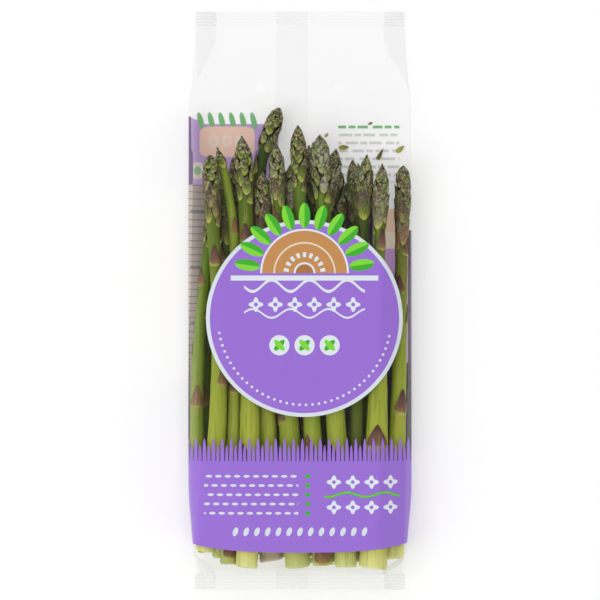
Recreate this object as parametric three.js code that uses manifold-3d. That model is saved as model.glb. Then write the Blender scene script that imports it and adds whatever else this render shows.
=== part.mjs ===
// A one-pound bundle of green asparagus in a clear film bag with side gussets, lying on its back.
//
// Millimetres. +X runs across the bag, +Y from the cut ends to the tips and +Z up. The origin lies on the
// surface that the bag rests on, under the middle of its length and width.
// The spears lie loose in the bag: the first ones on the back film, and each later one on those under it.

import * as THREE from "three";
import { mergeVertices } from "three/addons/utils/BufferGeometryUtils.js";
import Module from "manifold-3d";

const wasm = await Module();
wasm.setup();

// ---------------------------------------------------------------- driving dimensions

const BAG_LENGTH = 348;
const BODY_HALF_WIDTH = 67.5;
const SEAL_HALF_WIDTH = 63.6;
const FILM = 0.6;
const CLEARANCE = 0.4; // between the film and what it holds
const FLOOR_GAP = 0.55; // from the back film up to the lowest spears
const SPEAR_GAP = 0.3; // between two spears that lie side by side or on each other

const TOP_SEAL = { start: 164.4, end: BAG_LENGTH / 2, height: 4 };
const BOTTOM_SEAL = { start: -165, end: -BAG_LENGTH / 2, height: 15 };
const CRIMP = { count: 2, depth: 0.3 };
const VENT = { radius: 3, x: 24, y: 128 };

const HEAD_LENGTH = 34;
const NECK_SHARE = 0.84; // the stem's radius under the head, as a share of the head's
const POINTED = 1.6; // how late a head narrows to its apex: a blunt one keeps its width for longer
const SCALE_RISE = 0.5; // how far a scale leaf stands off the stem
const SCALE_REACH = 0.75; // and off the head, at its point

// Every spear from its cut end to its apex: x at the cut end, half way and at the apex, y at both ends,
// the radius at the cut end and of the head, and the turn of its first scale leaf round the stem. Some heads
// bend over, and on some the leaves start further down: shift says how much. A blunt head narrows later.
// The x are where it would lie alone: settle() moves neighbours apart until they fit.
const BACK_SPEARS = [
  { x: [-57, -56, -46], y: [-151, 72], radius: [5.6, 4.7], turn: 0.4 },
  { x: [-38, -39, -42], y: [-156, 89], radius: [5.9, 4.4], turn: 2.1 },
  { x: [-20, -21, -20], y: [-153, 68], radius: [6.2, 5.1], turn: 4.0 },
  { x: [-2, -3, -7], y: [-158, 76], radius: [5.6, 4.8], turn: 5.5 },
  { x: [16, 15, 5], y: [-155, 93], radius: [6.0, 4.6], turn: 1.2 },
  { x: [34, 35, 31.5], y: [-157, 84.6], radius: [5.8, 3.3], turn: 1.9, blunt: 2.2 },
  { x: [52, 59, 62], y: [-152, 77], radius: [5.8, 3.8], turn: 3.3 },
];
const MIDDLE_SPEARS = [
  { x: [-49, -48.5, -43], y: [-155, 72], radius: [5.6, 3.8], turn: 2.7 },
  { x: [-32, -33, -22.8], y: [-157, 116], radius: [5.8, 4.6], bend: 12.3, turn: 5.0, blunt: 2.8 },
  { x: [-10, -12, -4], y: [-154, 84], radius: [6.0, 4.8], turn: 1.9 },
  { x: [7, 9, 22.5], y: [-154, 90.6], radius: [5.6, 4.4], turn: 3.0 },
  { x: [22, 23, 23.4], y: [-158, 80.4], radius: [5.6, 4.8], turn: 4.4 },
  { x: [32, 34, 41.5], y: [-156, 86.6], radius: [5.0, 4.3], turn: 2.4 },
  { x: [48, 38, 33.5], y: [-156, 81.6], radius: [5.6, 4.0], turn: 5.9 },
];
const FRONT_SPEARS = [
  { x: [-60, -59.5, -44], y: [-146, 66], radius: [4.8, 4.0], turn: 0.57, shift: -5.4 },
  { x: [-55.7, -45, -57.5], y: [-150, 87], radius: [6.0, 4.4], bend: 4, turn: 1.48, shift: 2.9, blunt: 2.8 },
  { x: [-44, -38, -41], y: [-158, 91], radius: [5.2, 3.4], bend: -9, turn: 0.39, shift: 11.2 },
  { x: [-30.7, -29, -35.5], y: [-159.6, 97.8], radius: [6.6, 4.9], turn: 1.31 },
  { x: [-15.4, -19.5, -23.6], y: [-156, 77], radius: [7.1, 5.1], turn: 2.2 },
  { x: [0.2, -10.3, -13], y: [-159.3, 93.6], radius: [7.5, 4.2], turn: 3.05 },
  { x: [13.8, 0.6, -2], y: [-158.2, 104.8], radius: [6.1, 4.0], turn: 1.31, blunt: 1.8 },
  { x: [25, 19, 12.4], y: [-159.5, 98.6], radius: [6.4, 5.2], turn: 1.31 },
  { x: [39.6, 45, 44.5], y: [-160.2, 81], radius: [8.4, 4.1], bend: 2.4, turn: 4.45, shift: 1.6 },
  { x: [58, 62.4, 65], y: [-155, 81], radius: [6.1, 3.9], turn: 1.1, shift: 13.8, blunt: 3.2 },
];
const LAYERS = [BACK_SPEARS, MIDDLE_SPEARS, FRONT_SPEARS];
const LAYER_LEVELS = [8, 17, 27]; // height of a layer's axes before the spears settle
const SPEARS = LAYERS.flat();

// Scale leaves that have come off and lie loose above the tips: centre, length and turn about Z.
const LOOSE_SCALES = [
  { x: 26.5, y: 92, length: 6.5, turn: 0.05 },
  { x: 48.5, y: 88, length: 8, turn: 1.1 },
  { x: 60.5, y: 91, length: 6.5, turn: 0.7 },
  { x: 16, y: 99.5, length: 3.6, turn: 0.9 },
  { x: 42.5, y: 106.5, length: 3.2, turn: 0.3 },
];

// ---------------------------------------------------------------- spears

const lerp = (a, b, t) => a + (b - a) * t;
const clamp01 = (t) => Math.min(1, Math.max(0, t));
const smooth = (t) => clamp01(t) ** 2 * (3 - 2 * clamp01(t));

// Half width of the bag along its length: full over the body, and narrower at both seals.
function halfWidth(y) {
  const top = smooth((y - 118) / 44);
  const bottom = smooth((-112 - y) / 44);
  return lerp(BODY_HALF_WIDTH, SEAL_HALF_WIDTH, Math.max(top, bottom));
}

const spearLength = (spear) => spear.y[1] - spear.y[0];
const shareAt = (spear, y) => (y - spear.y[0]) / spearLength(spear);

// x of the axis at a share of the spear's length: a parabola through its three x, and the bend of the head.
function axisX(spear, share) {
  const [cut, middle, apex] = spear.x;
  const bow = 4 * share * (1 - share) * (middle - (cut + apex) / 2);
  const bent = (spear.bend ?? 0) * clamp01((share - 0.78) / 0.22) ** 1.6;
  return lerp(cut, apex, share) + bow + bent;
}

// Radius at a share of the length: a tapering stem, a slight swelling and the pointed head.
function radiusAt(spear, share) {
  const [cut, head] = spear.radius;
  const neck = head * NECK_SHARE;
  const headShare = headShareOf(spear);
  const t = (share - 1 + headShare) / headShare;
  if (t <= 0) return lerp(cut, neck, smooth(share / (1 - headShare)) ** 0.9);
  if (t <= 0.3) return lerp(neck, head, smooth(t / 0.3));
  const narrowing = ((t - 0.3) / 0.7) ** (spear.blunt ?? POINTED);
  return Math.max(0.45, head * Math.cos((Math.PI / 2) * narrowing) ** 0.85);
}

const headShareOf = (spear) => HEAD_LENGTH / spearLength(spear);

// How far a spear reaches from its axis, scales and all.
function reachAt(spear, share) {
  const onHead = smooth((share - 1 + 1.25 * headShareOf(spear)) / (0.25 * headShareOf(spear)));
  return radiusAt(spear, clamp01(share)) + lerp(SCALE_RISE, SCALE_REACH, onHead);
}

// How far a spear reaches to its side at a share of its length, where it runs aslant.
function sideReach(spear, share) {
  const step = 0.01;
  const slope = (axisX(spear, share + step) - axisX(spear, share)) / (step * spearLength(spear));
  return reachAt(spear, share) * Math.hypot(1, slope);
}

// ---------------------------------------------------------------- how the spears lie on each other

const STATION = 6; // the pile is measured on slices this far apart along the bag
const END_MARGIN = 3; // a spear keeps its place in a slice this far beyond its own ends
const SIDE_ROOM = 1; // from the side of the bag to the nearest spear, where the film turns round
const SETTLE_ROUNDS = 1200;
const CALM_FROM = 0.5; // share of the rounds after which nothing pulls on the spears any more
const STEP = 0.06; // how far a spear gives way in a round, as a share of what the slices ask for
const WEIGHT = 0.02; // how much it sinks in a round
const MEMORY = [0.006, 0.006, 0.02]; // how strongly each listed x is held: the tips keep their places

// What a spear's slices need again and again: how much each end moves the axis there, and its reach.
function slicesOf(spear) {
  const slices = [];
  for (let y = BOTTOM_SEAL.start; y < TOP_SEAL.start; y += STATION) {
    const inside = y > spear.y[0] - END_MARGIN && y < spear.y[1] + END_MARGIN;
    const share = clamp01(shareAt(spear, y));
    slices.push({
      inside,
      share,
      reach: sideReach(spear, share),
      acrossPull: [(1 - share) * (1 - 2 * share), 4 * share * (1 - share), share * (2 * share - 1)],
      upPull: [1 - share, share],
      room: halfWidth(y) - SIDE_ROOM,
      push: [0, 0],
    });
  }
  return slices;
}

// How far two spears have to move apart in a slice, along x and z.
function overlap(spear, other, k) {
  const [a, b] = [spear.slices[k], other.slices[k]];
  if (!a.inside || !b.inside) return null;
  const [dx, dz] = [b.x - a.x, b.z - a.z];
  const distance = Math.max(1e-6, Math.hypot(dx, dz));
  const lack = a.reach + b.reach + SPEAR_GAP - distance;
  return lack > 0 ? [(dx / distance) * lack, (dz / distance) * lack] : null;
}

// Lets the spears sink between each other, as straight rods seen from the side and gentle bows from above.
function settle(spears) {
  for (const spear of spears) {
    spear.slices = slicesOf(spear);
    spear.listed = [...spear.x];
    spear.z = [spear.level, spear.level];
  }
  const count = spears[0].slices.length;
  for (let round = 0; round < SETTLE_ROUNDS; round++) {
    const pull = round < CALM_FROM * SETTLE_ROUNDS ? 1 : 0;
    for (const spear of spears) {
      for (const slice of spear.slices) {
        slice.x = axisX(spear, slice.share);
        slice.z = lerp(spear.z[0], spear.z[1], slice.share);
        const down = FILM + FLOOR_GAP + slice.reach - slice.z;
        const aside = Math.abs(slice.x) - (slice.room - slice.reach);
        slice.push[0] = slice.inside && aside > 0 ? -Math.sign(slice.x) * aside : 0;
        slice.push[1] = slice.inside && down > 0 ? down : 0;
      }
    }
    for (let k = 0; k < count; k++) {
      spears.forEach((spear, i) => {
        for (const other of spears.slice(i + 1)) {
          const apart = overlap(spear, other, k);
          if (!apart) continue;
          for (const axis of [0, 1]) {
            spear.slices[k].push[axis] -= apart[axis] / 2;
            other.slices[k].push[axis] += apart[axis] / 2;
          }
        }
      });
    }
    for (const spear of spears) {
      spear.x = spear.x.map((x, end) => {
        const asked = spear.slices.reduce((sum, s) => sum + s.acrossPull[end] * s.push[0], 0);
        return x + STEP * asked + pull * MEMORY[end] * (spear.listed[end] - x);
      });
      spear.z = spear.z.map((z, end) => {
        const asked = spear.slices.reduce((sum, s) => sum + s.upPull[end] * s.push[1], 0);
        return z + STEP * asked - pull * WEIGHT;
      });
    }
  }
}

LAYERS.forEach((layer, k) => layer.forEach((spear) => (spear.level = LAYER_LEVELS[k])));
settle(SPEARS);

const axisZ = (spear, y) => lerp(spear.z[0], spear.z[1], shareAt(spear, y));

// A point at an angle round the spear, that far from its axis. Angle 0 looks up and the angle turns to +X.
function around(spear, y, angle, distance) {
  const share = shareAt(spear, y);
  const step = 0.5;
  const run = axisX(spear, shareAt(spear, y + step)) - axisX(spear, shareAt(spear, y - step));
  const climb = axisZ(spear, y + step) - axisZ(spear, y - step);
  const along = new THREE.Vector3(run, 2 * step, climb).normalize();
  const side = new THREE.Vector3().crossVectors(along, new THREE.Vector3(0, 0, 1)).normalize();
  const up = new THREE.Vector3().crossVectors(side, along);
  return new THREE.Vector3(axisX(spear, share), y, axisZ(spear, y))
    .addScaledVector(side, distance * Math.sin(angle))
    .addScaledVector(up, distance * Math.cos(angle));
}

// ---------------------------------------------------------------- meshes and solids

function geometryOf(points, faces) {
  const geometry = new THREE.BufferGeometry();
  geometry.setAttribute("position", new THREE.Float32BufferAttribute(points.flatMap((p) => p.toArray()), 3));
  geometry.setIndex(faces.flat());
  return geometry;
}

function solidOf(geometry) {
  const bare = geometry.clone();
  for (const name of ["normal", "uv"]) bare.deleteAttribute(name);
  const merged = mergeVertices(bare, 1e-4);
  const triVerts = new Uint32Array(merged.index.array);
  return new wasm.Manifold(
    new wasm.Mesh({ numProp: 3, vertProperties: merged.attributes.position.array, triVerts }),
  );
}

function geometryFromSolid(solid) {
  const mesh = solid.getMesh();
  const geometry = new THREE.BufferGeometry();
  geometry.setAttribute("position", new THREE.BufferAttribute(mesh.vertProperties.slice(), 3));
  geometry.setIndex(new THREE.BufferAttribute(mesh.triVerts.slice(), 1));
  geometry.computeVertexNormals();
  return geometry;
}

// A closed tube through rings that all have the same number of points, with its ends capped by strips.
function loft(rings) {
  const count = rings[0].length;
  const faces = [];
  for (let r = 0; r + 1 < rings.length; r++) {
    for (let k = 0; k < count; k++) {
      const a = r * count + k;
      const b = r * count + ((k + 1) % count);
      faces.push([a, b, b + count], [a, b + count, a + count]);
    }
  }
  const last = (rings.length - 1) * count;
  faces.push(...capFaces(0, count).map(([a, b, c]) => [a, c, b]), ...capFaces(last, count));
  return geometryOf(rings.flat(), faces);
}

// The faces that close a ring, as strips across it.
function capFaces(first, count) {
  const faces = [];
  for (let k = 0; k < count / 2; k++) {
    const [a, b] = [first + k, first + k + 1];
    const [c, d] = [first + count - 1 - k, first + ((count - k) % count)];
    faces.push([a, b, c], [a, c, d]);
  }
  return faces.filter(([a, b, c]) => a !== b && b !== c && a !== c);
}

// ---------------------------------------------------------------- one spear

const STEM_SIDES = 8;
const HEAD_ROWS = 10;
const SCALE_LEAN = 0.42; // how far a scale's point leans over the next row of the head, in rows
const FIRST_LEAF = HEAD_LENGTH + 6; // from the apex to the root of the stem's first scale leaf
const LAST_LEAF = 9; // no root is closer to the cut end than this
const LEAF_HALF_ANGLE = 0.65; // half of the angle that a leaf's root takes up round the stem
const LEAF_RISE = 0.15; // how far the ends of its root stand off the stem
const GOLDEN_ANGLE = Math.PI * (3 - Math.sqrt(5));

// Distances of the stem's scale leaves from the apex, ever further apart towards the cut end.
function leafRoots(spear) {
  const roots = [];
  let spacing = 9;
  for (let root = FIRST_LEAF + (spear.shift ?? 0); root < spearLength(spear) - LAST_LEAF; root += spacing) {
    roots.push(root);
    spacing = Math.min(spacing + 5, 32);
  }
  return roots;
}

// A pointed scale leaf that clasps the stem: its root is as wide as the stem and its point stands off it.
function scaleLeaf(spear, y, angle) {
  const radiusUp = (up) => radiusAt(spear, shareAt(spear, y + up));
  const height = 5.5 + 0.9 * radiusUp(0);
  const ridge = 0.35 * height;
  const points = [
    around(spear, y, angle - LEAF_HALF_ANGLE, radiusUp(0) + LEAF_RISE),
    around(spear, y, angle + LEAF_HALF_ANGLE, radiusUp(0) + LEAF_RISE),
    around(spear, y + ridge, angle, radiusUp(ridge) + SCALE_RISE),
    around(spear, y + height, angle, radiusUp(height) + 0.8 * SCALE_RISE),
    around(spear, y + ridge, angle, 0.5 * radiusUp(ridge)),
  ];
  const faces = [[0, 1, 2], [0, 2, 3], [2, 1, 3], [0, 3, 4], [3, 1, 4], [0, 4, 1]];
  return geometryOf(points, faces);
}

// A ring of the stem, or of the head, where every other point is a scale's and leans over the next row.
function spearRing(spear, share, row) {
  const y = lerp(spear.y[0], spear.y[1], share);
  const rowLength = HEAD_LENGTH / HEAD_ROWS;
  const taper = smooth((HEAD_ROWS - row) / 3);
  const ring = [];
  for (let k = 0; k < STEM_SIDES; k++) {
    const angle = spear.turn + (2 * Math.PI * k) / STEM_SIDES;
    const isPoint = (k + row) % 2 === 0;
    const lean = row < 0 ? 0 : (isPoint ? 1 : -1) * SCALE_LEAN * rowLength * taper;
    const rise = row < 0 ? 0 : (isPoint ? SCALE_REACH : -0.35) * taper;
    ring.push(around(spear, y + lean, angle, radiusAt(spear, share) + rise));
  }
  return ring;
}

function spearSolid(spear) {
  const headShare = headShareOf(spear);
  const rings = [0, 0.25, 0.5, 0.75, 0.96].map((share) => spearRing(spear, share * (1 - headShare), -1));
  for (let row = 0; row <= HEAD_ROWS; row++) {
    rings.push(spearRing(spear, 1 - headShare * (1 - row / HEAD_ROWS), row));
  }
  let solid = solidOf(loft(rings));
  leafRoots(spear).forEach((root, k) => {
    solid = solid.add(solidOf(scaleLeaf(spear, spear.y[1] - root, spear.turn + k * GOLDEN_ANGLE)));
  });
  return solid;
}

// ---------------------------------------------------------------- the film bag

const SECTION_SIDES = 32;
const FLATNESS = 0.28; // how much closer the sides' directions are over the flat faces than at the edges
const CORNER = 0.12; // least radius inside a corner of the film
const LOOK_STEP = 3; // the spears are measured this far apart along the bag
const TAUTNESS = 0.8; // 1 would span every hollow between spears and seals, and 0 would follow them
// Stations between the seals: close together where spears end and where the bag empties.
const BODY_YS = [-162, -156, -148, -135, -110, -80, -50, -20, 10, 38, 58, 70, 80, 90, 101, 112, 122, 136];

// Depth of the bag where nothing fills it: it falls away from the tips to the top seal.
const emptyDepth = (y) => 2 + 17 * Math.cos((Math.PI / 2) * clamp01((y - 30) / 132)) ** 0.9;

// How far the inside of the bag's body reaches in the direction (cos, sin) at y, measured from the origin.
// It clears the spears from one neighbouring station to the other.
function bodySupport(y, [from, to], cos, sin) {
  const round = emptyDepth(y) / 2;
  const middle = FILM + round;
  let reach = (halfWidth(y) - FILM - round) * Math.abs(cos) + round + middle * sin;
  for (const spear of SPEARS) {
    if (to < spear.y[0] - END_MARGIN || from > spear.y[1] + END_MARGIN) continue;
    for (let look = from; look < to + LOOK_STEP; look += LOOK_STEP) {
      const at = Math.min(spear.y[1], Math.max(spear.y[0], Math.min(look, to)));
      const share = shareAt(spear, at);
      const held = axisX(spear, share) * cos + axisZ(spear, at) * sin + sideReach(spear, share) + CLEARANCE;
      reach = Math.max(reach, held);
    }
  }
  return reach;
}

// The same for a seal, a flat strip whose two films lie on each other.
function sealSupport(y, cos, sin, height) {
  return (halfWidth(y) - FILM - CORNER) * Math.abs(cos) + CORNER + height * sin;
}

// The directions that the sides of every section face.
const FACINGS = Array.from({ length: SECTION_SIDES }, (_, k) => {
  const turn = (2 * Math.PI * k) / SECTION_SIDES;
  const angle = turn + FLATNESS * Math.sin(2 * turn);
  return { cos: Math.cos(angle), sin: Math.sin(angle) };
});

// Stations along the bag between its seals, with how far the inside reaches towards every facing.
function insideStations() {
  const ends = [BOTTOM_SEAL, TOP_SEAL].map(({ start, height }) => {
    return { y: start, reach: FACINGS.map(({ cos, sin }) => sealSupport(start, cos, sin, height)) };
  });
  const ys = [BOTTOM_SEAL.start, ...BODY_YS, TOP_SEAL.start];
  const stations = BODY_YS.map((y, k) => {
    const span = [ys[k], ys[k + 2]];
    return { y, reach: FACINGS.map(({ cos, sin }) => bodySupport(y, span, cos, sin)) };
  });
  return [ends[0], ...stations, ends[1]];
}

// The film is taut: between two stations it spans whatever lies lower in between.
function pullTaut(stations) {
  return stations.map((station) => {
    const reach = station.reach.map((own, k) => {
      let spanned = own;
      for (const before of stations) {
        for (const after of stations) {
          if (before.y >= station.y || after.y <= station.y) continue;
          const share = (station.y - before.y) / (after.y - before.y);
          spanned = Math.max(spanned, lerp(before.reach[k], after.reach[k], share));
        }
      }
      return lerp(own, spanned, TAUTNESS);
    });
    return { y: station.y, reach };
  });
}

// A section of the bag: flat sides that touch what it holds, with corners where neighbouring sides meet.
function section({ y, reach }, wall) {
  const ring = FACINGS.map((a, k) => {
    const next = (k + 1) % SECTION_SIDES;
    const b = FACINGS[next];
    const [near, far] = [reach[k] + wall, reach[next] + wall];
    const turn = a.cos * b.sin - b.cos * a.sin;
    return new THREE.Vector3((near * b.sin - far * a.sin) / turn, y, (far * a.cos - near * b.cos) / turn);
  });
  return ring.reverse();
}

// Stations along a seal, whose crimps rise and fall.
function sealStations(seal) {
  const steps = 2 * CRIMP.count;
  const stations = [];
  for (let k = 1; k <= steps; k++) {
    const y = lerp(seal.start, seal.end, k / steps);
    const height = seal.height + (k % 2 === 1 ? CRIMP.depth : 0);
    stations.push({ y, reach: FACINGS.map(({ cos, sin }) => sealSupport(y, cos, sin, height)) });
  }
  return stations;
}

function bagSolid() {
  const inside = pullTaut(insideStations());
  const all = [...sealStations(BOTTOM_SEAL).reverse(), ...inside, ...sealStations(TOP_SEAL)];
  const outer = loft(all.map((station) => section(station, FILM)));
  const inner = loft(inside.map((station) => section(station, 0)));
  let solid = solidOf(outer).subtract(solidOf(inner));
  for (const x of [-VENT.x, VENT.x]) {
    const punch = new THREE.CylinderGeometry(VENT.radius, VENT.radius, 6, 16);
    punch.rotateX(Math.PI / 2).translate(x, VENT.y, -2);
    solid = solid.subtract(solidOf(punch));
  }
  return solid;
}

// ---------------------------------------------------------------- loose scale leaves

function looseScale({ x, y, length, turn }) {
  const half = length / 2;
  const base = FILM + CLEARANCE;
  const points = [
    new THREE.Vector3(-half, 0, 0.2),
    new THREE.Vector3(-0.3 * half, -0.42 * half, 0),
    new THREE.Vector3(-0.3 * half, 0.42 * half, 0),
    new THREE.Vector3(half, 0, 0.5),
    new THREE.Vector3(-0.1 * half, 0, 1.1),
  ];
  const faces = [[0, 2, 1], [1, 2, 3], [0, 1, 4], [1, 3, 4], [3, 2, 4], [2, 0, 4]];
  const geometry = geometryOf(points, faces);
  geometry.rotateZ(turn).translate(x, y, base);
  return geometry;
}

// ---------------------------------------------------------------- assembly

const stemMaterial = new THREE.MeshStandardMaterial({ color: 0x7f9a3c, roughness: 0.5, metalness: 0 });
const looseMaterial = new THREE.MeshStandardMaterial({ color: 0x9a8f3e, roughness: 0.7, metalness: 0 });
const filmMaterial = new THREE.MeshStandardMaterial({
  color: 0xe9ecf2,
  roughness: 0.15,
  metalness: 0,
  transparent: true,
  opacity: 0.3,
});

function addMesh(group, name, geometry, material) {
  const mesh = new THREE.Mesh(geometry, material);
  mesh.name = name;
  group.add(mesh);
}

const twoDigits = (number) => String(number).padStart(2, "0");

const bundle = new THREE.Group();
bundle.name = "asparagus_in_bag";
addMesh(bundle, "bag", geometryFromSolid(bagSolid()), filmMaterial);
SPEARS.forEach((spear, k) => {
  addMesh(bundle, `spear_${twoDigits(k + 1)}`, geometryFromSolid(spearSolid(spear)), stemMaterial);
});
LOOSE_SCALES.forEach((scale, k) => addMesh(bundle, `loose_scale_${k + 1}`, looseScale(scale), looseMaterial));

export default bundle;
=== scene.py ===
"""A bundle of green asparagus in a clear printed film bag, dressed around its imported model.

Lengths are in millimetres, and become metres where a mesh is made. +X runs across the bag, +Y from the cut
ends to the tips and +Z up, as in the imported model.
"""
import math
from functools import reduce

import bpy
import numpy as np
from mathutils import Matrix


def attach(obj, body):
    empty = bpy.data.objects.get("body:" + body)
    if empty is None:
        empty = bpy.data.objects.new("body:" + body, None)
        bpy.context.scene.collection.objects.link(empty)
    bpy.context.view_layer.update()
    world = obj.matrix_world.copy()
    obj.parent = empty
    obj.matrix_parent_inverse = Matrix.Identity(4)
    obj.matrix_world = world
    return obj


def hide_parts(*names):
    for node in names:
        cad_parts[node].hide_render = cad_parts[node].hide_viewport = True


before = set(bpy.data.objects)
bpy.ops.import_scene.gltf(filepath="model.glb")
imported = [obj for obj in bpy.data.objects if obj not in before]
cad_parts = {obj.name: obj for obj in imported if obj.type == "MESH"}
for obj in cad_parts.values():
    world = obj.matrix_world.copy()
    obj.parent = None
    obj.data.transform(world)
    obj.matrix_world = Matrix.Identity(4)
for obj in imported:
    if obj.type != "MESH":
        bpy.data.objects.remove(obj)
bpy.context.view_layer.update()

METRE = 0.001  # one millimetre, in Blender's metres
SEED = 20

# ---- the bag and its spears, as they were built

BAG_LENGTH = 348
BODY_HALF_WIDTH = 67.5
SEAL_HALF_WIDTH = 63.6
# Where the bag changes towards its ends: from this y, over this length, to the top seal; the same to the
# bottom one.
NARROWING = (118, 44, -112, 44)
GUSSET_FOLD = (118, 42, -150, 14)
ROOMY = (96, 22, -158, 5)  # where nothing holds the film, so that it wrinkles both ways
WALL = 0.6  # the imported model's film
CLEARANCE = 0.4  # between the film and what it holds
FLOOR_GAP = 0.55  # from the back film up to the lowest spears
SPEAR_GAP = 0.3  # between two spears that lie side by side or on each other
TOP_SEAL = {"start": 164.4, "end": BAG_LENGTH / 2, "height": 4}
BOTTOM_SEAL = {"start": -165, "end": -BAG_LENGTH / 2, "height": 15}

HEAD_LENGTH = 34
NECK_SHARE = 0.84  # the stem's radius under the head, as a share of the head's
POINTED = 1.6  # how late a head narrows to its apex: a blunt one keeps its width for longer
WIDEST = 0.3  # the share of the head's length at which it is widest
LEAST_RADIUS = 0.45
BEND = {"start": 0.78, "length": 0.22, "power": 1.6}  # in shares of the spear's length
SCALE_RISE = 0.5  # how far a scale leaf stands off the stem
SCALE_REACH = 0.75  # and off the head, at its point
FIRST_LEAF = HEAD_LENGTH + 6  # from the apex to the root of the stem's first scale leaf
LAST_LEAF = 9  # no root is closer to the cut end than this
END_MARGIN = 3  # a spear keeps its place this far beyond its own ends
GOLDEN_ANGLE = math.pi * (3 - math.sqrt(5))

# Cut end, middle and apex across the bag; cut end and apex along it; radius at the cut end and of the head;
# turn of the first scale leaf; how far the head bends over; how much further down the leaves start; how
# late a blunt head narrows.
BACK_SPEARS = [
    dict(x=(-57, -56, -46), y=(-151, 72), radius=(5.6, 4.7), turn=0.4),
    dict(x=(-38, -39, -42), y=(-156, 89), radius=(5.9, 4.4), turn=2.1),
    dict(x=(-20, -21, -20), y=(-153, 68), radius=(6.2, 5.1), turn=4.0),
    dict(x=(-2, -3, -7), y=(-158, 76), radius=(5.6, 4.8), turn=5.5),
    dict(x=(16, 15, 5), y=(-155, 93), radius=(6.0, 4.6), turn=1.2),
    dict(x=(34, 35, 31.5), y=(-157, 84.6), radius=(5.8, 3.3), turn=1.9, blunt=2.2),
    dict(x=(52, 59, 62), y=(-152, 77), radius=(5.8, 3.8), turn=3.3),
]
MIDDLE_SPEARS = [
    dict(x=(-49, -48.5, -43), y=(-155, 72), radius=(5.6, 3.8), turn=2.7),
    dict(x=(-32, -33, -22.8), y=(-157, 116), radius=(5.8, 4.6), bend=12.3, turn=5.0, blunt=2.8),
    dict(x=(-10, -12, -4), y=(-154, 84), radius=(6.0, 4.8), turn=1.9),
    dict(x=(7, 9, 22.5), y=(-154, 90.6), radius=(5.6, 4.4), turn=3.0),
    dict(x=(22, 23, 23.4), y=(-158, 80.4), radius=(5.6, 4.8), turn=4.4),
    dict(x=(32, 34, 41.5), y=(-156, 86.6), radius=(5.0, 4.3), turn=2.4),
    dict(x=(48, 38, 33.5), y=(-156, 81.6), radius=(5.6, 4.0), turn=5.9),
]
FRONT_SPEARS = [
    dict(x=(-60, -59.5, -44), y=(-146, 66), radius=(4.8, 4.0), turn=0.57, shift=-5.4),
    dict(x=(-55.7, -45, -57.5), y=(-150, 87), radius=(6.0, 4.4), bend=4, turn=1.48, shift=2.9, blunt=2.8),
    dict(x=(-44, -38, -41), y=(-158, 91), radius=(5.2, 3.4), bend=-9, turn=0.39, shift=11.2),
    dict(x=(-30.7, -29, -35.5), y=(-159.6, 97.8), radius=(6.6, 4.9), turn=1.31),
    dict(x=(-15.4, -19.5, -23.6), y=(-156, 77), radius=(7.1, 5.1), turn=2.2),
    dict(x=(0.2, -10.3, -13), y=(-159.3, 93.6), radius=(7.5, 4.2), turn=3.05),
    dict(x=(13.8, 0.6, -2), y=(-158.2, 104.8), radius=(6.1, 4.0), turn=1.31, blunt=1.8),
    dict(x=(25, 19, 12.4), y=(-159.5, 98.6), radius=(6.4, 5.2), turn=1.31),
    dict(x=(39.6, 45, 44.5), y=(-160.2, 81), radius=(8.4, 4.1), bend=2.4, turn=4.45, shift=1.6),
    dict(x=(58, 62.4, 65), y=(-155, 81), radius=(6.1, 3.9), turn=1.1, shift=13.8, blunt=3.2),
]
LAYERS = [(8, BACK_SPEARS), (17, MIDDLE_SPEARS), (27, FRONT_SPEARS)]  # with the height that each sinks from

LOOSE_SCALES = [
    dict(x=26.5, y=92, length=6.5, turn=0.05),
    dict(x=48.5, y=88, length=8, turn=1.1),
    dict(x=60.5, y=91, length=6.5, turn=0.7),
    dict(x=16, y=99.5, length=3.6, turn=0.9),
    dict(x=42.5, y=106.5, length=3.2, turn=0.3),
]


def lerp(a, b, t):
    return a + (b - a) * t


def smooth(t):
    t = np.clip(t, 0, 1)
    return t * t * (3 - 2 * t)


def near_ends(y, top, top_length, bottom, bottom_length):
    """0 over the body of the bag, rising to 1 from y = top up and from y = bottom down."""
    return np.maximum(smooth((y - top) / top_length), smooth((bottom - y) / bottom_length))


def half_width(y):
    """Half width of the bag: full over the body, and narrower at both seals."""
    return lerp(BODY_HALF_WIDTH, SEAL_HALF_WIDTH, near_ends(y, *NARROWING))


# ---- one spear's axis and radius


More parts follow.
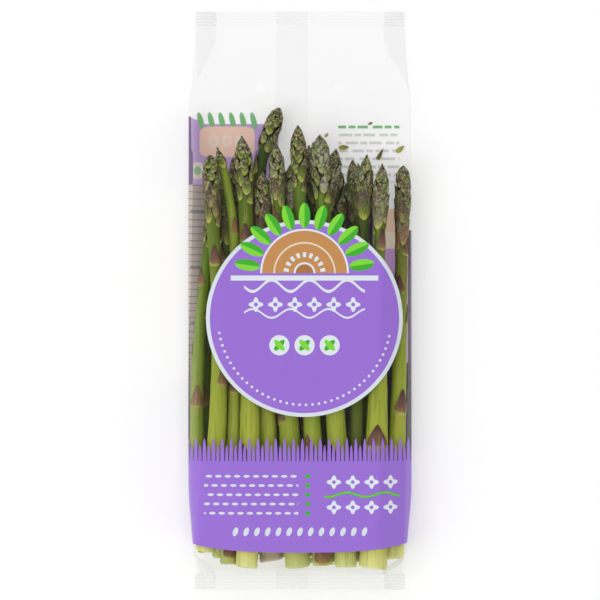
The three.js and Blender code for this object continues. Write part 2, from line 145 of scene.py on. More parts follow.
class Spear:
    def __init__(self, number, level, x, y, radius, turn, bend=0, shift=0, blunt=POINTED):
        self.number = number
        self.x = np.array(x, float)
        self.y = y
        self.z = np.array([level, level], float)
        self.radius = radius
        self.turn = turn
        self.bend = bend
        self.shift = shift
        self.blunt = blunt
        self.length = y[1] - y[0]
        self.head_share = HEAD_LENGTH / self.length

    def share(self, y):
        return (y - self.y[0]) / self.length

    def is_near(self, y):
        return (y > self.y[0] - END_MARGIN) & (y < self.y[1] + END_MARGIN)

    def bent(self, share):
        return self.bend * np.clip((share - BEND["start"]) / BEND["length"], 0, 1) ** BEND["power"]

    def axis_x(self, share):
        return across_weights(share) @ self.x + self.bent(share)

    def axis_z(self, share):
        return lerp(self.z[0], self.z[1], share)

    def radius_at(self, share):
        """A tapering stem, a slight swelling and the pointed head."""
        cut, head = self.radius
        neck = head * NECK_SHARE
        t = (share - 1 + self.head_share) / self.head_share
        stem = lerp(cut, neck, smooth(share / (1 - self.head_share)) ** 0.9)
        swelling = lerp(neck, head, smooth(t / WIDEST))
        pointed = np.clip((t - WIDEST) / (1 - WIDEST), 0, 1) ** self.blunt * math.pi / 2
        tip = np.maximum(LEAST_RADIUS, head * np.maximum(np.cos(pointed), 1e-9) ** 0.85)
        return np.where(t <= 0, stem, np.where(t <= WIDEST, swelling, tip))

    def radius_near(self, y):
        return self.radius_at(np.clip(self.share(y), 0, 1))

    def reach_at(self, share):
        """How far the spear reaches from its axis, scales and all."""
        on_head = smooth((share - 1 + 1.25 * self.head_share) / (0.25 * self.head_share))
        return self.radius_at(np.clip(share, 0, 1)) + lerp(SCALE_RISE, SCALE_REACH, on_head)

    def side_reach(self, share):
        """How far it reaches to its side, where it runs aslant."""
        step = 0.01
        slope = (self.axis_x(share + step) - self.axis_x(share)) / (step * self.length)
        return self.reach_at(share) * np.hypot(1, slope)

    def around(self, y, angle=0.0, distance=0.0):
        """Points at an angle round the spear, that far from its axis. Angle 0 looks up and turns to +X."""
        y, angle, distance = np.broadcast_arrays(y, angle, distance)
        step = 0.5
        before = self.share(y - step)
        after = self.share(y + step)
        run = self.axis_x(after) - self.axis_x(before)
        climb = self.axis_z(after) - self.axis_z(before)
        along = unit(np.stack([run, np.full_like(run, 2 * step), climb], -1))
        side = unit(np.stack([along[..., 1], -along[..., 0], np.zeros_like(run)], -1))
        up = np.cross(side, along)
        share = self.share(y)
        axis = np.stack([self.axis_x(share), y, self.axis_z(share)], -1)
        across = (distance * np.sin(angle))[..., None] * side
        return axis + across + (distance * np.cos(angle))[..., None] * up


def unit(vectors):
    return vectors / np.maximum(1e-12, np.linalg.norm(vectors, axis=-1, keepdims=True))


def across_weights(share):
    """How much the cut end, the middle and the apex each move the axis at a share of the length."""
    share = np.asarray(share, float)
    rest = 1 - share
    return np.stack([rest * (1 - 2 * share), 4 * share * rest, share * (2 * share - 1)], -1)


# ---- how the spears lie on each other

STATION = 6  # the pile is measured on slices this far apart along the bag
SIDE_ROOM = 1.0  # from the side of the bag to the nearest spear
SETTLE_ROUNDS = 1200
CALM_FROM = 0.5  # share of the rounds after which nothing pulls on the spears any more
STEP = 0.06  # how far a spear gives way in a round, as a share of what the slices ask for
WEIGHT = 0.02  # how much it sinks in a round
MEMORY = np.array([0.006, 0.006, 0.02])  # how strongly each listed x is held


def settle(spears):
    """Lets the spears sink between each other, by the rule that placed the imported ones."""
    ys = np.arange(BOTTOM_SEAL["start"], TOP_SEAL["start"], STATION)
    inside = np.array([s.is_near(ys) for s in spears])
    shares = np.array([np.clip(s.share(ys), 0, 1) for s in spears])
    reach = np.array([s.side_reach(share) for s, share in zip(spears, shares)])
    bent = np.array([s.bent(share) for s, share in zip(spears, shares)])
    across = across_weights(shares)
    up = np.stack([1 - shares, shares], -1)
    room = half_width(ys) - SIDE_ROOM - reach
    apart = inside[:, None] & inside[None] & ~np.eye(len(spears), dtype=bool)[..., None]
    needed = np.where(apart, reach[:, None] + reach[None] + SPEAR_GAP, -1)
    listed = np.array([s.x for s in spears])
    x = listed.copy()
    z = np.array([s.z for s in spears])
    for n in range(SETTLE_ROUNDS):
        pull = 1 if n < CALM_FROM * SETTLE_ROUNDS else 0
        at_x = (across * x[:, None]).sum(-1) + bent
        at_z = (up * z[:, None]).sum(-1)
        dx = at_x[None] - at_x[:, None]
        dz = at_z[None] - at_z[:, None]
        distance = np.maximum(1e-6, np.hypot(dx, dz))
        lack = np.maximum(0, needed - distance) / distance
        past_side = np.sign(at_x) * np.maximum(0, abs(at_x) - room)
        push_x = -(dx * lack).sum(1) / 2 - np.where(inside, past_side, 0)
        lift = np.maximum(0, WALL + FLOOR_GAP + reach - at_z)
        push_z = -(dz * lack).sum(1) / 2 + np.where(inside, lift, 0)
        x += STEP * (across * push_x[..., None]).sum(1) + pull * MEMORY * (listed - x)
        z += STEP * (up * push_z[..., None]).sum(1) - pull * WEIGHT
    for spear, new_x, new_z in zip(spears, x, z):
        spear.x = new_x
        spear.z = new_z


# ---- meshes


class Shell:
    """Grows one mesh from grids of points, each with its looks, which looks_of() puts together."""

    def __init__(self):
        self.points = []
        self.looks = []
        self.quads = []
        self.tris = []
        self.count = 0

    def add(self, points, looks):
        """Adds points of any grid shape and returns their numbers in that shape."""
        shape = points.shape[:-1]
        numbers = self.count + np.arange(math.prod(shape)).reshape(shape)
        self.points.append(points.reshape(-1, 3))
        self.looks.append(looks.reshape(-1, 6))
        self.count += numbers.size
        return numbers

    def tube(self, rings):
        self.quads.append(tube_quads(rings))

    def fan(self, ring, point, flip=False):
        """Triangles from a ring of numbers (..., place) to one point (...)."""
        following = np.roll(ring, -1, axis=-1)
        tip = np.broadcast_to(point[..., None], ring.shape)
        faces = [following, ring, tip] if flip else [ring, following, tip]
        self.tris.append(np.stack(faces, -1).reshape(-1, 3))

    def mesh(self, name):
        mesh = mesh_of(name, np.concatenate(self.points) * METRE, self.quads, self.tris)
        looks = np.concatenate(self.looks)
        set_attribute(mesh, "growth", looks[:, :3])
        set_attribute(mesh, "leaf", looks[:, 3:])
        return mesh


def looks_of(shape, share, tone, weather=0, along=0, across=0, leaf=0):
    """What a grid of points tells its material: its share of the spear's length; a tone from 0 to 1, and 1
    more on a stem behind the front layer, which paints shade on it; how dusty it is, which also paints a
    pale sheen, or, below 0, how dry; and on a leaf its share of the leaf's length, its share of the half
    width, and 1. Across a cut face, the share is of its radius."""
    columns = (share, tone, weather, along, across, leaf)
    return np.stack([np.broadcast_to(column, shape) for column in columns], -1).astype(float)


def tube_quads(rings):
    """Faces between rings of point numbers (..., ring, place), closed round each ring."""
    rings = np.asarray(rings)
    following = np.roll(rings, -1, axis=-1)
    faces = [rings[..., :-1, :], following[..., :-1, :], following[..., 1:, :], rings[..., 1:, :]]
    return np.stack(faces, -1).reshape(-1, 4)


def set_attribute(mesh, name, values):
    layer = mesh.attributes.new(name, "FLOAT_VECTOR", "POINT")
    layer.data.foreach_set("vector", values.astype(np.float32).ravel())


def mesh_of(name, points, quads, tris=()):
    """A smooth mesh of points in metres and lists of faces with four and three corners."""
    corners = [np.concatenate(faces).ravel() for faces in (quads, tris) if len(faces)]
    sizes = np.concatenate([np.full(len(c) // size, size) for c, size in zip(corners, (4, 3))])
    corners = np.concatenate(corners)
    mesh = bpy.data.meshes.new(name)
    mesh.vertices.add(len(points))
    mesh.vertices.foreach_set("co", points.astype(np.float32).ravel())
    mesh.loops.add(len(corners))
    mesh.loops.foreach_set("vertex_index", corners.astype(np.int32))
    mesh.polygons.add(len(sizes))
    mesh.polygons.foreach_set("loop_start", (np.cumsum(sizes) - sizes).astype(np.int32))
    mesh.update(calc_edges=True)
    mesh.validate()
    mesh.polygons.foreach_set("use_smooth", np.ones(len(mesh.polygons), bool))
    mesh.set_sharp_from_angle(angle=math.radians(55))
    return mesh


def put(name, data):
    """A new object in the scene."""
    obj = bpy.data.objects.new(name, data)
    bpy.context.scene.collection.objects.link(obj)
    return obj


def piece(mesh, material, node):
    """Puts a mesh into the scene as a piece that stands for this node."""
    obj = put(mesh.name, mesh)
    mesh.materials.append(material)
    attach(obj, "root")
    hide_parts(node)


# ---- the mesh of one spear

STEM_SIDES = 30
CUT_EDGE = np.array([0, 0.4, 1.1, 2.4])  # rings near the cut end
CAP_RINGS = np.array([0.96, 0.84, 0.6, 0.3])  # rings on the cut face, as shares of its radius
RIBS = [(0.06, 9, 0.02), (0.05, 5, -0.013)]  # height, how many round the stem and their drift along it
WAVES = [(0.07, 9), (0.06, 23)]  # height and length
NODE = {"height": 0.22, "half": 2.2}  # the swelling under every scale leaf
STEM_ROWS = 96
HEAD_ROWS = 26
OVALNESS = 0.022  # how much further than round a stem reaches, as a share of its radius
DRYING = 9  # how far from the cut end a stem shrinks and dries
SHRINKING = {"depth": 0.16, "count": 13}
ROUNDING = {"depth": 0.6, "length": 1.1}  # of the cut end's rim
SLANT = {"least": 0.04, "most": 0.16, "length": 12}  # of the cut, in shares of the radius
RAGGED = 0.16
HOLLOW = 0.3  # how far the middle of the cut face sinks
LEAF_ROWS = np.array([0, 0.07, 0.18, 0.32, 0.47, 0.63, 0.78, 0.91])
LEAF_COLUMNS = np.array([-1, -0.7, -0.35, 0, 0.35, 0.7, 1])
BRACT_OUTLINE = np.array([0.94, 1, 0.94, 0.8, 0.62, 0.43, 0.26, 0.11])  # share of the half width, by row
SCALE_OUTLINE = np.array([0.66, 0.82, 0.97, 1, 0.9, 0.72, 0.48, 0.21])
LEAF_SAG = 0.1  # how much lower the middle of a leaf's root is, as a share of its length
LEAF_LIP = (-0.15, 0.3)  # how far a leaf's face lies off the stem, at its root and beyond
LEAF_THICKNESS = (0.8, 0.25)  # at its root and towards its point
KEEL = 0.4  # how much further the middle of a leaf stands off
MARGIN = 0.2  # and its rims
LEAST_BEND = 1.4  # the least radius that a leaf is bent round
CORE_SHARE = 0.88  # of the head's radius, under its scales
DRY_END = 19  # the spear whose cut end has dried
PEELED = 17  # the spear whose scales are gone from under its tip
SCALES_END = {PEELED: 11, 9: 28}  # how far from the apex the scales of some heads end
PEELED_SHARE = 0.5  # its colours run this much slower towards the tip, which stays pale
POINTED_START = 1.2  # from a pointed head's apex to the root of its first scale
BLUNT_START = 2.0
CLOSED_STAND = 0.95  # how far the scales of a closed head stand off
# Spears whose heads have begun to open: number, how far the scales stand off and how many more there are.
OPEN_HEADS = {22: (2.2, 26), 11: (1.8, 20), 12: (1.4, 10), 18: (1.3, 8), 23: (1.1, 6)}
# Pale specks on the heads, partly a dusting and partly a painted bluish-white sheen; the heads on the right
# get more, which lightens them.
DUST_AND_SHEEN = {22: 1.1, 11: 1.1, 12: 1.0, 9: 0.5, 20: 0.8, 23: 0.45, 24: 0.35, 13: 0.5, 14: 0.6, 10: 0.6, 6: 0.5}
LITTLE_DUST_AND_SHEEN = 0.25  # on the other heads
LAST_HIDDEN = 14  # the spears up to this one lie behind the front layer; their stems get painted shade
# Single leaves: spear, distance of the root from the apex, angle, length, half width, lift, tone, pale
# dusting and painted sheen.
LONE_LEAVES = [
    (17, 11.5, 0.2, 12.0, 3.1, 0.5, 0.1, 0),
    (17, 245.0, 0.3, 10.5, 5.0, 0.3, 0.5, 0),
    (21, 262.0, 0.1, 12.5, 5.6, 0.4, 0.8, 0),
    (22, 12.0, 1.1, 11.0, 2.4, 2.4, 0.3, 0.3),
    (22, 14.0, -0.5, 12.0, 2.6, 1.8, 0.4, 0.5),
    (22, 7.0, 1.5, 7.0, 2.2, 3.4, 0.0, 1),
    (12, 4.5, 0.2, 6.5, 1.8, 0.9, 0.0, 0),
    (16, 30.4, -0.1, 14.0, 2.9, 0.3, 0.9, 0),
    (13, 31.5, 0.1, 12.6, 3.0, 0.6, 0.8, 0),
    (13, 24.0, 0.9, 8.5, 2.4, 1.4, 0.1, 0),
    (13, 9.0, 0.1, 9.6, 2.6, 1.2, 0.3, 0),
]


def stem_leaves(spear):
    """Distances of the stem's scale leaves from the apex, and their angles round the stem."""
    roots = []
    spacing = 9
    root = FIRST_LEAF + spear.shift
    while root < spear.length - LAST_LEAF:
        roots.append(root)
        root += spacing
        spacing = min(spacing + 5, 32)
    return np.array(roots), spear.turn + GOLDEN_ANGLE * np.arange(len(roots))


def head_scales(spear):
    """The same for the scales of the head, ever closer together towards the apex."""
    roots = []
    root = BLUNT_START if spear.blunt > POINTED else POINTED_START
    last = SCALES_END.get(spear.number, FIRST_LEAF + spear.shift - 2)
    while root < last:
        roots.append(root)
        root += 0.34 + 0.036 * len(roots)
    first = len(roots)
    return np.array(roots), spear.turn - GOLDEN_ANGLE * (first - np.arange(first))


def add_stem(shell, spear, rng):
    """The stem, the core of the head and the cut face. Returns the stem's tone."""
    cut, apex = spear.y
    neck = apex - HEAD_LENGTH
    low = np.linspace(cut + 4.5, neck, STEM_ROWS)
    high = np.linspace(neck + 1.2, apex - 0.6, HEAD_ROWS)
    y = np.concatenate([cut + CUT_EDGE, low, high])[:, None]
    angle = 2 * math.pi * np.arange(STEM_SIDES)[None] / STEM_SIDES
    share = spear.share(y)
    radius = spear.radius_at(share) * lerp(1, CORE_SHARE, smooth((y - neck + 2) / 6))
    phases = rng.uniform(0, 2 * math.pi, 8)
    ribs = sum(rise * np.sin(n * angle + phase + drift * y) for (rise, n, drift), phase in zip(RIBS, phases))
    flattened = OVALNESS * radius * np.cos(2 * (angle - phases[2] - 0.004 * y))
    waves = sum(rise * np.sin(y / run + phase) for (rise, run), phase in zip(WAVES, phases[3:]))
    near_cut = smooth((cut + DRYING - y) / DRYING)
    shrunk = SHRINKING["depth"] * np.sin(SHRINKING["count"] * angle + phases[5]) * near_cut
    from_apex = apex - stem_leaves(spear)[0]
    nodes = sum(NODE["height"] * np.exp(-(((y - at) / NODE["half"]) ** 2)) for at in from_apex)
    rounding = ROUNDING["depth"] * smooth((cut + ROUNDING["length"] - y) / ROUNDING["length"]) ** 2
    distance = radius + ribs + flattened + waves + shrunk + nodes - rounding
    slant = rng.uniform(SLANT["least"], SLANT["most"])
    at_cut = smooth((cut + SLANT["length"] - y) / SLANT["length"])
    tilt = slant * radius * np.cos(angle - phases[6]) * at_cut
    ragged = rng.uniform(-RAGGED, RAGGED, distance.shape) * smooth(cut + 1 - y)
    rings = spear.around(y + tilt + ragged, angle, distance)

    tone = rng.uniform()
    # Stems behind the front layer get 1 more tone, which paints shade on them.
    tone_and_shade = tone + (spear.number <= LAST_HIDDEN)
    shown_share = share * (PEELED_SHARE if spear.number == PEELED else 1)
    weather = -near_cut if spear.number == DRY_END else 0 * near_cut
    looks = looks_of(distance.shape, shown_share, tone_and_shade, weather, across=1)
    side = shell.add(rings, looks)
    shell.tube(side)
    shell.fan(side[-1], shell.add(spear.around(np.array(apex - 0.2)), looks[-1, 0]))

    face = CAP_RINGS[:, None]
    hollow = HOLLOW * (1 - face**2) + rng.uniform(-0.14, 0.14, (len(face), STEM_SIDES))
    flat = spear.around(cut + tilt[:1] * face + hollow, angle, distance[:1] * face)
    inner = shell.add(flat, looks_of(hollow.shape, 0, tone_and_shade, weather[0], across=face))
    shell.tube(np.concatenate([side[:1], inner])[::-1])
    centre = shell.add(spear.around(np.array(cut + HOLLOW)), looks_of((), 0, tone_and_shade, weather[0, 0]))
    shell.fan(inner[-1], centre, flip=True)
    return tone


def add_leaves(shell, spear, roots, angles, heights, half_widths, lifts, outline, tones, weather=0, leans=0):
    """Scale leaves that clasp the spear with their roots, and whose points stand off it.
    leans says how far, as an angle round the spear, a point lies beside its root."""

    def each(values):
        """A value for every leaf, set against its rows and columns of points."""
        return np.broadcast_to(values, roots.shape)[:, None, None]

    def thinness(radius):
        """Leaves are slighter where the head is thin."""
        return np.clip(radius / 3, 0.15, 1)

    rows = LEAF_ROWS[None, :, None]
    columns = LEAF_COLUMNS[None, None]
    off_root = smooth(rows / 0.1)
    sag = LEAF_SAG * (1 - columns**2) * (1 - rows) ** 2
    base = spear.y[1] - roots
    y = each(base) + each(heights) * (rows - sag)
    radius = spear.radius_near(y)
    half = each(half_widths) * outline[None, :, None]
    angle = each(angles) + columns * half / np.maximum(radius, LEAST_BEND) + each(leans) * rows
    keel = KEEL * (1 - abs(columns) ** 1.4) * np.sin(math.pi * np.clip(rows + 0.15, 0, 1)) ** 0.5
    margin = MARGIN * columns**2 * off_root
    lip = lerp(*LEAF_LIP, off_root)
    top = radius + thinness(radius) * (lip + keel + margin + each(lifts) * rows**1.5)
    under = np.maximum(0.08, top - lerp(*LEAF_THICKNESS, smooth(rows / 0.6)) * thinness(radius))
    upper = spear.around(y, angle, top)
    lower = spear.around(y, angle, under)
    rings = np.concatenate([upper, lower[:, :, ::-1]], axis=2)

    share = np.clip(spear.share(base), 0, 1)
    across = abs(np.concatenate([columns, columns[..., ::-1]], axis=2))
    looks = looks_of(rings.shape[:-1], each(share), each(tones), each(weather), rows, across, 1)
    numbers = shell.add(rings, looks)
    shell.tube(numbers[..., ::-1])
    tip_y = base + heights
    tip_radius = spear.radius_near(tip_y)
    slight = thinness(tip_radius)
    tip_top = np.maximum(0.04, tip_radius * slight**0.5 + slight * (lifts - 0.1))
    tips = spear.around(tip_y, angles + leans, tip_top)
    tip_looks = looks_of(roots.shape, share, tones, weather, along=1, leaf=1)
    shell.fan(numbers[:, -1], shell.add(tips, tip_looks), flip=True)
    count = len(LEAF_COLUMNS)
    root = numbers[:, 0]
    ends = [root[:, :count - 1], root[:, 1:count], root[:, -2:-count - 1:-1], root[:, -1:-count:-1]]
    shell.quads.append(np.stack(ends, -1).reshape(-1, 4))


def add_bracts(shell, spear, tone, rng):
    """The scale leaves of the stem."""
    roots, angles = stem_leaves(spear)
    radius = spear.radius_near(spear.y[1] - roots)
    heights = (6.5 + 1.1 * radius) * rng.uniform(0.95, 1.25, len(roots))
    lifts = rng.uniform(0.05, 0.3, len(roots))
    tones = np.clip(tone + rng.uniform(-0.35, 0.35, len(roots)), 0, 1)
    add_leaves(shell, spear, roots, angles, heights, 1.08 * radius, lifts, BRACT_OUTLINE, tones)


def add_head(shell, spear, rng):
    """The scales of the head and, where it has begun to open, more of them that stand off."""
    stand, more = OPEN_HEADS.get(spear.number, (CLOSED_STAND, 0))
    roots, angles = head_scales(spear)
    count = len(roots)
    heights = np.minimum(3.4 + 0.27 * roots, 0.9 + 0.8 * roots) * rng.uniform(0.75, 1.2, count)
    heights = np.where(spear.blunt > POINTED, np.minimum(heights, 0.92 * roots), heights)
    angles = angles + rng.uniform(-0.22, 0.22, count)
    half_widths = (0.95 + 0.165 * heights) * rng.uniform(0.85, 1.15, count)
    lifts = stand * rng.uniform(0.2, 1.2, count)
    leans = rng.uniform(-0.22, 0.22, count)
    tones = rng.uniform(0, 1, count)
    dust_and_sheen = rng.uniform(0, 1, count) ** 2 * DUST_AND_SHEEN.get(spear.number, LITTLE_DUST_AND_SHEEN)
    add_leaves(shell, spear, roots, angles, heights, half_widths, lifts, SCALE_OUTLINE, tones, dust_and_sheen, leans)
    if more:
        roots = rng.uniform(3, 26, more)
        angles = rng.uniform(-1.5, 1.5, more)
        heights = np.minimum(rng.uniform(5, 10, more), roots + 0.4)
        lifts = stand * rng.uniform(0.5, 1.1, more)
        tones = rng.uniform(0, 1, more)
        dust_and_sheen = rng.uniform(0.2, 1, more)
        add_leaves(shell, spear, roots, angles, heights, 0.2 * heights, lifts, SCALE_OUTLINE, tones, dust_and_sheen)


def spear_mesh(spear):
    rng = np.random.default_rng(SEED + spear.number)
    shell = Shell()
    tone = add_stem(shell, spear, rng)
    add_bracts(shell, spear, tone, rng)
    add_head(shell, spear, rng)
    for number, *sizes in LONE_LEAVES:
        if number == spear.number:
            root, angle, height, half_width, lift, tone, dust_and_sheen = (np.array([size]) for size in sizes)
            add_leaves(shell, spear, root, angle, height, half_width, lift, SCALE_OUTLINE, tone, dust_and_sheen)
    return shell.mesh(f"asparagus_{spear.number:02d}")


# ---- nodes of a material


def add_node(tree, kind, inputs, **settings):
    """A new shader node with these settings, and with its inputs, by name or place, fed with these."""
    node = tree.nodes.new("ShaderNode" + kind)
    for name, value in settings.items():
        setattr(node, name, value)
    for name, value in inputs.items():
        feed(tree, node.inputs[name], value)
    return node


def feed(tree, socket, value):
    """Sets a socket to a value, or links it to a field, to another socket or to a node's first output."""
    if isinstance(value, Field):
        value = value.socket
    if isinstance(value, bpy.types.Node):
        value = value.outputs[0]
    if isinstance(value, bpy.types.NodeSocket):
        tree.links.new(value, socket)
    else:
        socket.default_value = value


def by_math(operation):
    """A method that joins a field and other values with a math node."""
    return lambda field, *others: field.math(operation, *others)


class Field:
    """A number at every point of a surface, worked out by math nodes."""

    def __init__(self, tree, socket):
        self.tree = tree
        self.socket = socket

    def math(self, operation, *others):
        inputs = dict(enumerate((self, *others)))
        return Field(self.tree, add_node(self.tree, "Math", inputs, operation=operation).outputs[0])

    __add__ = by_math("ADD")
    __sub__ = by_math("SUBTRACT")
    __mul__ = __and__ = by_math("MULTIPLY")
    __truediv__ = by_math("DIVIDE")
    __pow__ = by_math("POWER")
    __lt__ = by_math("LESS_THAN")
    __gt__ = by_math("GREATER_THAN")
    __or__ = by_math("MAXIMUM")
    size = by_math("ABSOLUTE")
    sine = by_math("SINE")
    root = by_math("SQRT")

    def squared(self):
        return self * self

    def cell(self, pitch):
        """The distance from the middle of the cell that a point lies in, where cells repeat at this pitch."""
        return (self / pitch).math("FRACT") * pitch - pitch / 2

    def ramp(self, low, high, start=0.0, end=1.0):
        """Runs smoothly from start where the field is low to end where it is high."""
        inputs = {"Value": self, "From Min": low, "From Max": high, "To Min": start, "To Max": end}
        node = add_node(self.tree, "MapRange", inputs, interpolation_type="SMOOTHSTEP")
        return Field(self.tree, node.outputs["Result"])


def srgb(red, green, blue):
    """A colour from its 0 to 255 values, as the linear numbers that Blender takes."""
    shares = np.array([red, green, blue]) / 255
    linear = np.where(shares <= 0.04045, shares / 12.92, ((shares + 0.055) / 1.055) ** 2.4)
    return (*(float(value) for value in linear), 1.0)


def shader_tree(holder, kind, surface):
    """Gives a material or a world a tree of nodes whose output shows what a function builds in it."""
    holder.use_nodes = True
    tree = holder.node_tree
    tree.nodes.clear()
    add_node(tree, kind, {"Surface": surface(tree)})
    return holder


def mixed(tree, factor, first, second):
    """A colour between two others. Colours are the seventh and eighth inputs of a mix node."""
    return add_node(tree, "Mix", {0: factor, 6: first, 7: second}, data_type="RGBA").outputs[2]


def tinted(tree, colour, *tints):
    """A colour with tints over it: pairs of where each lies and its 0 to 255 values."""
    for where, tint in tints:
        colour = mixed(tree, where, colour, srgb(*tint))
    return colour


def colour_ramp(tree, field, stops):
    """A colour that runs through stops: each a place and a colour's 0 to 255 values."""
    node = add_node(tree, "ValToRGB", {0: field})
    elements = node.color_ramp.elements
    while len(elements) < len(stops):
        elements.new(0.5)
    for element, (place, *colour) in zip(elements, stops):
        element.position = place
        element.color = srgb(*colour)
    return node.outputs["Color"]


def noise(tree, scale, stretch=(1, 1, 1), detail=3.0):
    """Noise in the object's own place, with its features this many times a metre."""
    place = tree.nodes.new("ShaderNodeTexCoord").outputs["Object"]
    mapped = add_node(tree, "Mapping", {"Vector": place, "Scale": stretch})
    inputs = {"Vector": mapped, "Scale": scale, "Detail": detail, "Roughness": 0.55}
    return Field(tree, add_node(tree, "TexNoise", inputs).outputs["Fac"])


def attribute(tree, name):
    """The three numbers of a mesh's attribute."""
    vector = add_node(tree, "Attribute", {}, attribute_name=name).outputs["Vector"]
    return [Field(tree, socket) for socket in add_node(tree, "SeparateXYZ", {0: vector}).outputs]


def occlusion(tree, reach):
    """1 where a surface lies open, falling to 0 where its own mesh closes in on it within this reach."""
    node = add_node(tree, "AmbientOcclusion", {"Distance": reach}, only_local=True, samples=6)
    return Field(tree, node.outputs["AO"])


def bump(tree, height, strength, distance):
    return add_node(tree, "Bump", {"Strength": strength, "Distance": distance, "Height": height})


def mix_shaders(tree, share, first, second):
    return add_node(tree, "MixShader", {0: share, 1: first, 2: second})


# ---- the spears' material

# Colours by their place: along the spear, and along a leaf from its root.
STEM_COLOURS = [
    (0.0, 226, 224, 150),
    (0.04, 206, 206, 106),
    (0.2, 178, 182, 64),
    (0.45, 150, 162, 52),
    (0.68, 122, 138, 38),
    (0.82, 88, 108, 28),
    (1.0, 56, 70, 24),
]
BRACT_COLOURS = [
    (0.0, 190, 188, 104),
    (0.06, 178, 174, 86),
    (0.14, 134, 112, 66),
    (0.32, 116, 80, 66),
    (0.75, 92, 54, 52),
    (1.0, 66, 38, 36),
]
GREEN_SCALE_COLOURS = [
    (0.0, 200, 206, 92),
    (0.14, 160, 170, 64),
    (0.34, 106, 122, 44),
    (0.7, 76, 84, 42),
    (1.0, 82, 66, 54),
]
PURPLE_SCALE_COLOURS = [
    (0.0, 188, 190, 92),
    (0.15, 148, 140, 76),
    (0.36, 106, 88, 70),
    (0.75, 80, 62, 58),
    (1.0, 122, 100, 88),
]
PITH = (206, 204, 150)
PITH_RIM = (170, 174, 88)


def asparagus_skin(tree):
    share, tone, weather = attribute(tree, "growth")
    along, across, is_leaf = attribute(tree, "leaf")
    streaks = noise(tree, 90, (6, 0.35, 6), detail=4)
    patches = noise(tree, 30, (1, 0.3, 1))
    veins = noise(tree, 260, (5, 0.3, 5), detail=2)
    mottle_and_shade = noise(tree, 620)
    powder_and_sheen = noise(tree, 560, detail=4)

    # Painted shade: stems behind the front layer are darker, as if the front spears shaded them, except near
    # the cut end.
    hidden_shade = tone.ramp(0.99, 1.01, 0, 0.55) & share.ramp(0.06, 0.25)
    stem = tinted(
        tree, colour_ramp(tree, share, STEM_COLOURS),
        (streaks.ramp(0.52, 0.8, 0, 0.3), (190, 196, 92)),
        (streaks.ramp(0.5, 0.25, 0, 0.4), (70, 88, 26)),
        (patches.ramp(0.55, 0.75, 0, 0.5), (104, 92, 50)),
        (tone.ramp(0.4, 1, 0, 0.4), (92, 128, 34)),
        (hidden_shade, (46, 52, 28)),
    )

    bract = tinted(tree, colour_ramp(tree, along, BRACT_COLOURS), (tone.ramp(0.3, 1, 0, 0.5), (150, 118, 66)))
    green = colour_ramp(tree, along, GREEN_SCALE_COLOURS)
    purple = colour_ramp(tree, along, PURPLE_SCALE_COLOURS)
    rim = across.ramp(0.62, 1.0, 0, 0.6) & along.ramp(0.0, 0.4)
    scale = tinted(tree, mixed(tree, tone.ramp(0.35, 0.75), green, purple), (rim, (132, 114, 72)))
    on_head = share.ramp(0.8, 0.95)
    leaf = tinted(
        tree, mixed(tree, share.ramp(0.78, 0.86), bract, scale),
        (veins.ramp(0.55, 0.8, 0, 0.4), (142, 142, 64)),
        (veins.ramp(0.5, 0.28, 0, 0.55), (26, 27, 14)),
        # On the head: pale flecks, and near-black flecks of painted shade between the tiny scales.
        (mottle_and_shade.ramp(0.51, 0.63, 0, 0.75) & on_head, (182, 178, 132)),
        (mottle_and_shade.ramp(0.46, 0.34, 0, 0.75) & on_head, (20, 22, 12)),
        # Pale specks, partly a dusting and partly a painted sheen.
        (weather.ramp(0.05, 0.9, 0, 0.8) & powder_and_sheen.ramp(0.42, 0.6, 0.1, 1), (172, 176, 154)),
    )

    # Painted shade: near-black where the spear's own mesh closes in, in the crevices under and between its
    # scales.
    crevice_shade = occlusion(tree, 0.006).ramp(0.42, 0.95, 0.95, 0)
    skin = tinted(tree, mixed(tree, is_leaf, stem, leaf), (crevice_shade, (15, 17, 9)))
    on_face = across.ramp(1.0, 0.97) & (is_leaf < 0.5)
    pith = mixed(tree, across.ramp(0.7, 0.95), srgb(*PITH), srgb(*PITH_RIM))
    dried = (weather.ramp(-0.1, -0.8, 0, 0.9), (168, 150, 128))
    return add_node(tree, "BsdfPrincipled", {
        "Base Color": tinted(tree, mixed(tree, on_face, skin, pith), dried),
        "Roughness": patches.ramp(0.3, 0.7, 0.34, 0.55),
        "Specular IOR Level": 0.16,
        "Normal": bump(tree, streaks * 0.5 + veins * 0.5, 0.5, 0.0004),
    })


# ---- the film's shape

FACINGS = 144  # directions that the sides of a section face
# Corners between the back, the gussets and the front, counted by facing from the middle of the back round
# by the right.
CREASES = (20, 51, 92, 123)
PANEL_STEPS = 80  # columns of the front, and of the back
GUSSET_STEPS = 12
STEPS = (PANEL_STEPS // 2, GUSSET_STEPS, PANEL_STEPS, GUSSET_STEPS, PANEL_STEPS // 2)
COLUMNS = sum(STEPS)
GUSSET_DEPTH = 12.5
SEAL_STEP = 0.3
BODY_STEP = 2.0
CORNER = 0.26  # half of the seals' thickness
TAUTNESS = 0.8
THICKNESS = 0.12
LOOSENESS = 0.17  # from what the film holds to its outer face
CRIMP = {"start": 0.6, "pitch": 1.8, "depth": 0.22}
PLEATS = ((7.3, 0.16), (12.7, 0.3), (21.0, 0.45), (37.0, 0.5))  # width and height of those at the seals
PLEAT_REACH = {"top": 22, "bottom": 7}  # how far from each seal they fade
RIDGE = {"count": 90, "length": (10, 34), "width": (1.4, 3.6), "height": (0.12, 0.42)}  # single wrinkles
LOWEST = 0.32  # the least height of the back film
FIN = {"left": 9, "right": 3, "gap": 0.04, "thickness": 0.2}  # its sides in columns from the bag's middle
VENT = {"radius": 3, "x": 24, "y": 128}
VENT_HALF = 2  # rows and columns of film that a vent takes, each way
